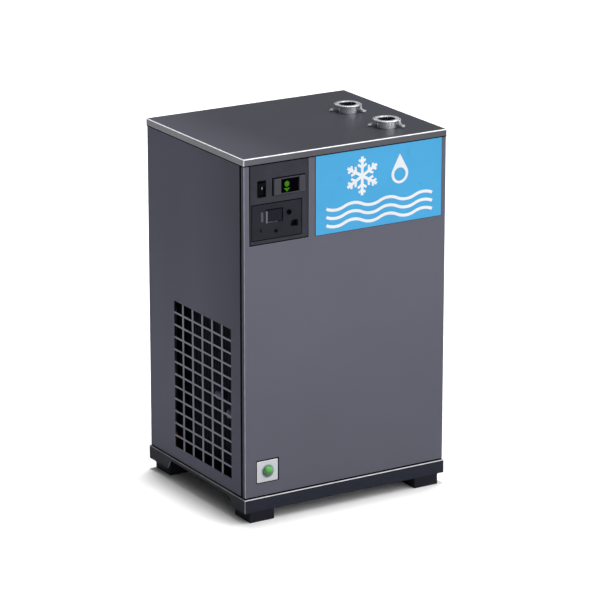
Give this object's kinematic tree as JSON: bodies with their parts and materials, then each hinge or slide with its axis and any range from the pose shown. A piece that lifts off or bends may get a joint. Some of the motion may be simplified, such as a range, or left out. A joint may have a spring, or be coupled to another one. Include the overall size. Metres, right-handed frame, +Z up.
{
  "type": "refrigerated air dryer",
  "caption": "Floor-standing refrigerated compressed-air dryer in a sheet-metal cabinet with cam-lever air couplings on top.",
  "frame": {"origin": "on the floor, under the centre of the cabinet", "axes": "+Z up, +X to the right as seen from the front, the front face looks along -Y"},
  "size_m": [0.506, 0.4318, 0.818],
  "materials": {
    "cabinet_paint": "fine satin powder coat, slate grey",
    "grille_paint": "fine satin powder coat",
    "base_paint": "satin powder coat, near black",
    "foot_rubber": "matt moulded rubber",
    "zinc_steel": "zinc plated",
    "fascia_plastic": "fine moulded texture",
    "switch_plastic": "glossy black",
    "controller_plastic": "moulded, slightly glossy",
    "window_plastic": "polished smoked window",
    "lamp_green": "lit diffuser",
    "timer_plastic": "fine moulded texture",
    "screen_plastic": "smoked screen",
    "level_bar_plastic": "frosted light pipe",
    "sign_blue": "printed plate",
    "sign_white": "printed film",
    "plate_metal": "light grey enamel",
    "lens_green": "translucent moulded lens",
    "coupling_steel": "polished stainless casting",
    "seal_rubber": "matt rubber",
    "insulation": "closed-cell foam skin",
    "copper": "drawn copper",
    "brass": "machined brass",
    "fin_aluminium": "rolled sheet",
    "black_paint": "semi-gloss black enamel",
    "pump_iron": "cast",
    "fitting_plastic": "moulded nylon"
  },
  "bodies": {
    "cabinet": {"base_frame": "base_paint", "foot_front_left": "foot_rubber", "foot_front_right": "foot_rubber", "foot_rear_left": "foot_rubber", "foot_rear_right": "foot_rubber", "mounting_bolts": "zinc_steel", "corner_posts": "black_paint", "front_panel": "cabinet_paint", "left_panel": "cabinet_paint", "right_panel": "cabinet_paint", "left_grille": "grille_paint", "right_grille": "grille_paint", "rear_panel": "cabinet_paint", "cabinet_screws": "zinc_steel", "top_cover": "cabinet_paint", "control_fascia": "fascia_plastic", "control_box": "zinc_steel", "switch_bezel": "switch_plastic", "controller_housing": "controller_plastic", "controller_window": "window_plastic", "controller_lamps": "lamp_green", "timer_module": "timer_plastic", "timer_screen": "screen_plastic", "timer_level_bar": "level_bar_plastic", "alarm_socket": "switch_plastic", "sign_plate": "sign_blue", "sign_emblem": "sign_white", "test_button_plate": "plate_metal", "test_button_collar": "plate_metal", "inlet_coupling_body": "coupling_steel", "outlet_coupling_body": "coupling_steel", "cam_pins": "zinc_steel", "coupling_gaskets": "seal_rubber", "coupling_locknuts": "zinc_steel", "heat_exchanger": "insulation", "air_pipes": "fin_aluminium", "moisture_separator": "black_paint", "drain_valve": "brass", "drain_hose": "seal_rubber", "drain_port": "fitting_plastic", "cable_gland": "fitting_plastic", "compressor_shell": "black_paint", "compressor_pump": "pump_iron", "compressor_grommets": "seal_rubber", "condenser_fins": "fin_aluminium", "condenser_frame": "zinc_steel", "condenser_tubes": "zinc_steel", "fan_shroud": "black_paint", "fan_motor": "black_paint", "filter_drier": "copper", "refrigerant_pipes": "copper"},
    "fan": {"fan_impeller": "black_paint"},
    "power_switch": {"switch_rocker": "switch_plastic"},
    "timer_knob": {"timer_knob": "switch_plastic"},
    "reset_button": {"reset_button": "switch_plastic"},
    "test_button": {"test_button_lens": "lens_green"},
    "inlet_cam_left": {"inlet_cam_arm_left": "coupling_steel"},
    "inlet_cam_right": {"inlet_cam_arm_right": "coupling_steel"},
    "outlet_cam_left": {"outlet_cam_arm_left": "coupling_steel"},
    "outlet_cam_right": {"outlet_cam_arm_right": "coupling_steel"}
  },
  "joints": [
    {"name": "fan_spin", "type": "hinge", "parent": "cabinet", "child": "fan", "pos_m": [-0.17, -0.033, 0.255], "axis": [1, 0, 0], "continuous": true},
    {"name": "power_switch_rock", "type": "hinge", "parent": "cabinet", "child": "power_switch", "pos_m": [-0.20485, -0.2014, 0.731], "axis": [1, 0, 0], "range_deg": [-18, 0]},
    {"name": "timer_knob_turn", "type": "hinge", "parent": "cabinet", "child": "timer_knob", "pos_m": [-0.1404, -0.2057, 0.673], "axis": [0, 1, 0], "range_deg": [-135, 135]},
    {"name": "reset_button_press", "type": "slide", "parent": "cabinet", "child": "reset_button", "axis": [0, 1, 0], "range_m": [0, 0.0015], "stiffness_N_per_m": 600},
    {"name": "test_button_press", "type": "slide", "parent": "cabinet", "child": "test_button", "axis": [0, 1, 0], "range_m": [0, 0.003], "stiffness_N_per_m": 900},
    {"name": "inlet_cam_left_lift", "type": "hinge", "parent": "cabinet", "child": "inlet_cam_left", "pos_m": [0.13168, 0.0494, 0.8115], "axis": [0.6691, 0.7431, 0], "range_deg": [0, 115]},
    {"name": "inlet_cam_right_lift", "type": "hinge", "parent": "cabinet", "child": "inlet_cam_right", "pos_m": [0.17032, 0.0146, 0.8115], "axis": [-0.6691, -0.7431, 0], "range_deg": [0, 115]},
    {"name": "outlet_cam_left_lift", "type": "hinge", "parent": "cabinet", "child": "outlet_cam_left", "pos_m": [0.13168, -0.1066, 0.8115], "axis": [0.6691, 0.7431, 0], "range_deg": [0, 115]},
    {"name": "outlet_cam_right_lift", "type": "hinge", "parent": "cabinet", "child": "outlet_cam_right", "pos_m": [0.17032, -0.1414, 0.8115], "axis": [-0.6691, -0.7431, 0], "range_deg": [0, 115]}
  ]
}
